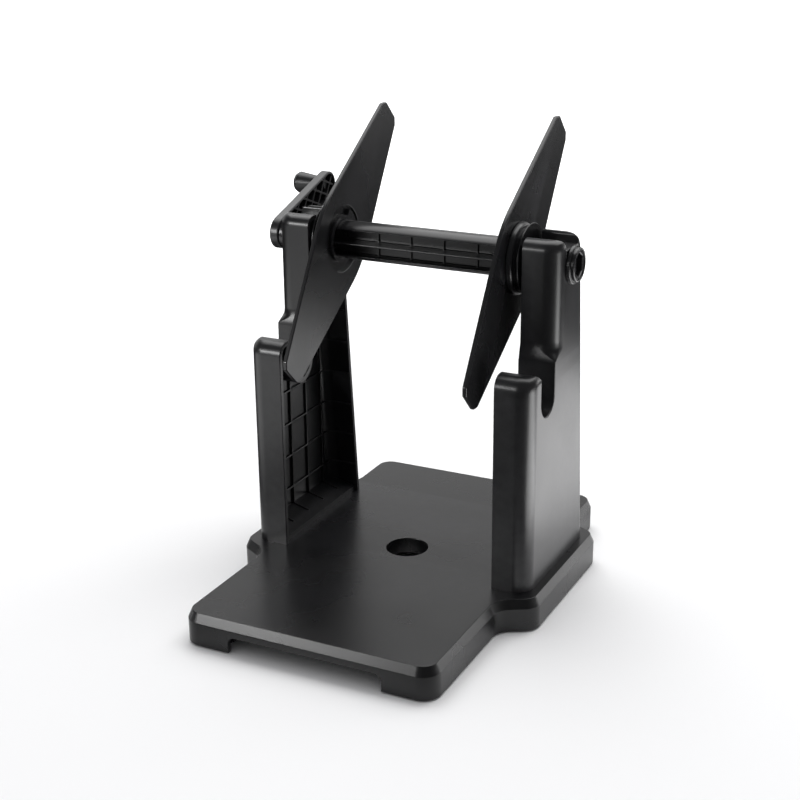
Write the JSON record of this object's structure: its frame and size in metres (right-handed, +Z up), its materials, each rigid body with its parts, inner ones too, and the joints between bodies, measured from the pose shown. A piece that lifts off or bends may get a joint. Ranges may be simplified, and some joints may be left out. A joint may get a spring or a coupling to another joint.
{
  "type": "label roll holder",
  "caption": "Free-standing black plastic holder for label rolls: hollow base plate, uprights, a crank-turned roller shaft in bushes and sliding, lockable roll baffles.",
  "frame": {"origin": "on the table, under the middle of the base plate; the feet's lower faces are at z 0", "axes": "+X along the roller shaft, away from the crank; +Y towards the back of the holder; +Z up"},
  "size_m": [0.1995, 0.2324, 0.253],
  "materials": {
    "base_plastic": "black moulded plastic, fine satin texture",
    "upright_plastic": "black moulded plastic, satin",
    "bush_plastic": "black moulded plastic, semi-gloss",
    "shaft_plastic": "black moulded plastic, semi-gloss",
    "baffle_plastic": "black moulded plastic, smooth satin",
    "ring_plastic": "black moulded plastic, semi-gloss",
    "crank_plastic": "black moulded plastic, satin",
    "grip_plastic": "black moulded plastic, satin",
    "cap_plastic": "black moulded plastic, semi-gloss",
    "foot_rubber": "black rubber, dull",
    "screw_steel": "zinc-plated steel screw",
    "pin_steel": "bright steel pin"
  },
  "bodies": {
    "root": {"base": "base_plastic", "foot_front_left": "foot_rubber", "foot_front_right": "foot_rubber", "foot_rear_left": "foot_rubber", "foot_rear_right": "foot_rubber", "left_upright": "upright_plastic", "right_upright": "upright_plastic", "upright_screws": "screw_steel"},
    "bearings": {"left_end_bush": "bush_plastic", "right_end_bush": "bush_plastic"},
    "shaft": {"roller_shaft": "shaft_plastic", "crank_arm": "crank_plastic", "crank_screw": "screw_steel", "grip_pin": "pin_steel"},
    "grip": {"crank_grip": "grip_plastic", "grip_cap": "cap_plastic"},
    "left_baffle": {"left_baffle": "baffle_plastic"},
    "right_baffle": {"right_baffle": "baffle_plastic"},
    "left_lock": {"left_lock_ring": "ring_plastic"},
    "right_lock": {"right_lock_ring": "ring_plastic"}
  },
  "joints": [
    {"name": "shaft_lift", "type": "slide", "parent": "root", "child": "bearings", "axis": [0, 0, 1], "range_m": [0, 0.032]},
    {"name": "shaft_spin", "type": "hinge", "parent": "bearings", "child": "shaft", "pos_m": [0, 0.03, 0.1854], "axis": [1, 0, 0], "continuous": true},
    {"name": "grip_turn", "type": "hinge", "parent": "shaft", "child": "grip", "pos_m": [-0.1015, 0.08162, 0.20287], "axis": [1, 0, 0], "continuous": true},
    {"name": "left_baffle_slide", "type": "slide", "parent": "shaft", "child": "left_baffle", "axis": [1, 0, 0], "range_m": [-0.001, 0.038]},
    {"name": "right_baffle_slide", "type": "slide", "parent": "shaft", "child": "right_baffle", "axis": [-1, 0, 0], "range_m": [-0.001, 0.038]},
    {"name": "left_lock_turn", "type": "hinge", "parent": "left_baffle", "child": "left_lock", "pos_m": [-0.0573, 0.03, 0.1854], "axis": [1, 0, 0], "range_deg": [0, 46]},
    {"name": "right_lock_turn", "type": "hinge", "parent": "right_baffle", "child": "right_lock", "pos_m": [0.0573, 0.03, 0.1854], "axis": [1, 0, 0], "range_deg": [0, 46]}
  ]
}
